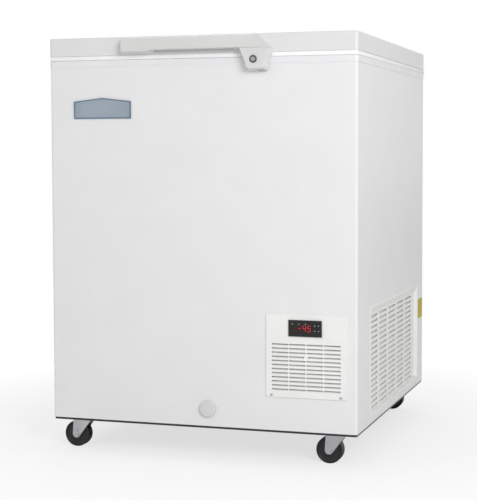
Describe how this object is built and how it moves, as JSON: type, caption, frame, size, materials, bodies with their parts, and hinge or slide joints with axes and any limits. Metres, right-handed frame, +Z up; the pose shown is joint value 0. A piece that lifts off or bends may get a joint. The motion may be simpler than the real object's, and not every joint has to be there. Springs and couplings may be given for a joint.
{
  "type": "low temperature chest freezer",
  "caption": "Low temperature chest freezer on swivel casters, with a rear-hinged lid, lockable front handle, lower front controller and grille, slotted side grille and drain plug.",
  "frame": {"origin": "on the floor under the middle of the whole object, casters down", "axes": "+Z up, -Y out of the front with the handle, +X to the right seen from the front"},
  "size_m": [0.722, 0.785, 0.941],
  "materials": {
    "white_painted_steel": "satin",
    "dark_painted_steel": "satin",
    "galvanised_steel": "satin",
    "zinc": "satin",
    "dark_metal": "satin",
    "liner_aluminium": "satin",
    "fin_aluminium": "satin",
    "copper": "satin",
    "white_plastic": "satin",
    "collar_plastic": "satin",
    "panel_plastic": "satin",
    "black_plastic": "gloss",
    "window": "gloss",
    "badge": "gloss",
    "gasket": "matte",
    "rubber": "matte",
    "wheel": "satin",
    "foam": "matte"
  },
  "bodies": {
    "cabinet": {"outer_shell": "white_painted_steel", "back_panel": "galvanised_steel", "rear_cover": "galvanised_steel", "cord_gland": "black_plastic", "inner_liner": "liner_aluminium", "drain_pipe": "white_plastic", "insulation_foam": "foam", "compartment_liner": "galvanised_steel", "top_frame": "collar_plastic", "base_frame": "dark_painted_steel", "lock_strike": "zinc", "hinge_brackets": "white_painted_steel", "hinge_pins": "zinc", "control_panel": "panel_plastic", "panel_screws": "zinc", "controller_case": "black_plastic", "display_window": "window", "side_grille": "panel_plastic", "badge_plate": "badge", "condenser": "fin_aluminium", "fan_shroud": "galvanised_steel", "fan_motor": "dark_painted_steel", "compressor": "dark_painted_steel", "compressor_mounts": "rubber", "terminal_cover": "black_plastic", "filter_drier": "copper", "copper_lines": "copper", "caster_plates": "zinc", "caster_bolts": "zinc"},
    "lid": {"lid_shell": "white_painted_steel", "lid_liner": "white_plastic", "lid_foam": "foam", "lid_gasket": "gasket", "handle": "white_plastic", "lock_cover": "white_plastic", "lock_barrel": "dark_metal", "hinge_arms": "white_painted_steel"},
    "lock": {"lock_plug": "dark_metal", "lock_cam": "zinc"},
    "drain_plug": {"drain_plug": "white_plastic"},
    "fan": {"fan_blade": "black_plastic", "fan_shaft": "zinc"},
    "key_power": {"key_power": "black_plastic"},
    "key_up": {"key_up": "black_plastic"},
    "key_set": {"key_set": "black_plastic"},
    "key_down": {"key_down": "black_plastic"},
    "swivel_front_left": {"caster_fork_front_left": "zinc", "caster_axle_front_left": "zinc"},
    "swivel_front_right": {"caster_fork_front_right": "zinc", "caster_axle_front_right": "zinc"},
    "swivel_rear_left": {"caster_fork_rear_left": "zinc", "caster_axle_rear_left": "zinc"},
    "swivel_rear_right": {"caster_fork_rear_right": "zinc", "caster_axle_rear_right": "zinc"},
    "wheel_front_left": {"caster_wheel_front_left": "wheel"},
    "wheel_front_right": {"caster_wheel_front_right": "wheel"},
    "wheel_rear_left": {"caster_wheel_rear_left": "wheel"},
    "wheel_rear_right": {"caster_wheel_rear_right": "wheel"}
  },
  "joints": [
    {"name": "lid_hinge", "type": "hinge", "parent": "cabinet", "child": "lid", "pos_m": [0, 0.3835, 0.895], "axis": [-1, 0, 0], "range_deg": [0, 85]},
    {"name": "key_turn", "type": "hinge", "parent": "lid", "child": "lock", "pos_m": [0.134, -0.3905, 0.884], "axis": [0, -1, 0], "range_deg": [0, 90]},
    {"name": "drain_plug_pull", "type": "slide", "parent": "cabinet", "child": "drain_plug", "axis": [0, -1, 0], "range_m": [0, 0.04]},
    {"name": "fan_spin", "type": "hinge", "parent": "cabinet", "child": "fan", "pos_m": [0.2397, -0.2555, 0.172], "axis": [0, 1, 0], "continuous": true},
    {"name": "key_power_press", "type": "slide", "parent": "cabinet", "child": "key_power", "axis": [0, 1, 0], "range_m": [0, 0.0006], "stiffness_N_per_m": 300},
    {"name": "key_up_press", "type": "slide", "parent": "cabinet", "child": "key_up", "axis": [0, 1, 0], "range_m": [0, 0.0006], "stiffness_N_per_m": 300},
    {"name": "key_set_press", "type": "slide", "parent": "cabinet", "child": "key_set", "axis": [0, 1, 0], "range_m": [0, 0.0006], "stiffness_N_per_m": 300},
    {"name": "key_down_press", "type": "slide", "parent": "cabinet", "child": "key_down", "axis": [0, 1, 0], "range_m": [0, 0.0006], "stiffness_N_per_m": 300},
    {"name": "swivel_front_left", "type": "hinge", "parent": "cabinet", "child": "swivel_front_left", "pos_m": [-0.304, -0.3185, 0.07], "axis": [0, 0, 1], "continuous": true},
    {"name": "roll_front_left", "type": "hinge", "parent": "swivel_front_left", "child": "wheel_front_left", "pos_m": [-0.3205, -0.3185, 0.03], "axis": [0, 1, 0], "continuous": true},
    {"name": "swivel_rear_left", "type": "hinge", "parent": "cabinet", "child": "swivel_rear_left", "pos_m": [-0.304, 0.3235, 0.07], "axis": [0, 0, 1], "continuous": true},
    {"name": "roll_rear_left", "type": "hinge", "parent": "swivel_rear_left", "child": "wheel_rear_left", "pos_m": [-0.3205, 0.3235, 0.03], "axis": [0, 1, 0], "continuous": true},
    {"name": "swivel_front_right", "type": "hinge", "parent": "cabinet", "child": "swivel_front_right", "pos_m": [0.304, -0.3185, 0.07], "axis": [0, 0, 1], "continuous": true},
    {"name": "roll_front_right", "type": "hinge", "parent": "swivel_front_right", "child": "wheel_front_right", "pos_m": [0.2875, -0.3185, 0.03], "axis": [0, 1, 0], "continuous": true},
    {"name": "swivel_rear_right", "type": "hinge", "parent": "cabinet", "child": "swivel_rear_right", "pos_m": [0.304, 0.3235, 0.07], "axis": [0, 0, 1], "continuous": true},
    {"name": "roll_rear_right", "type": "hinge", "parent": "swivel_rear_right", "child": "wheel_rear_right", "pos_m": [0.2875, 0.3235, 0.03], "axis": [0, 1, 0], "continuous": true}
  ]
}
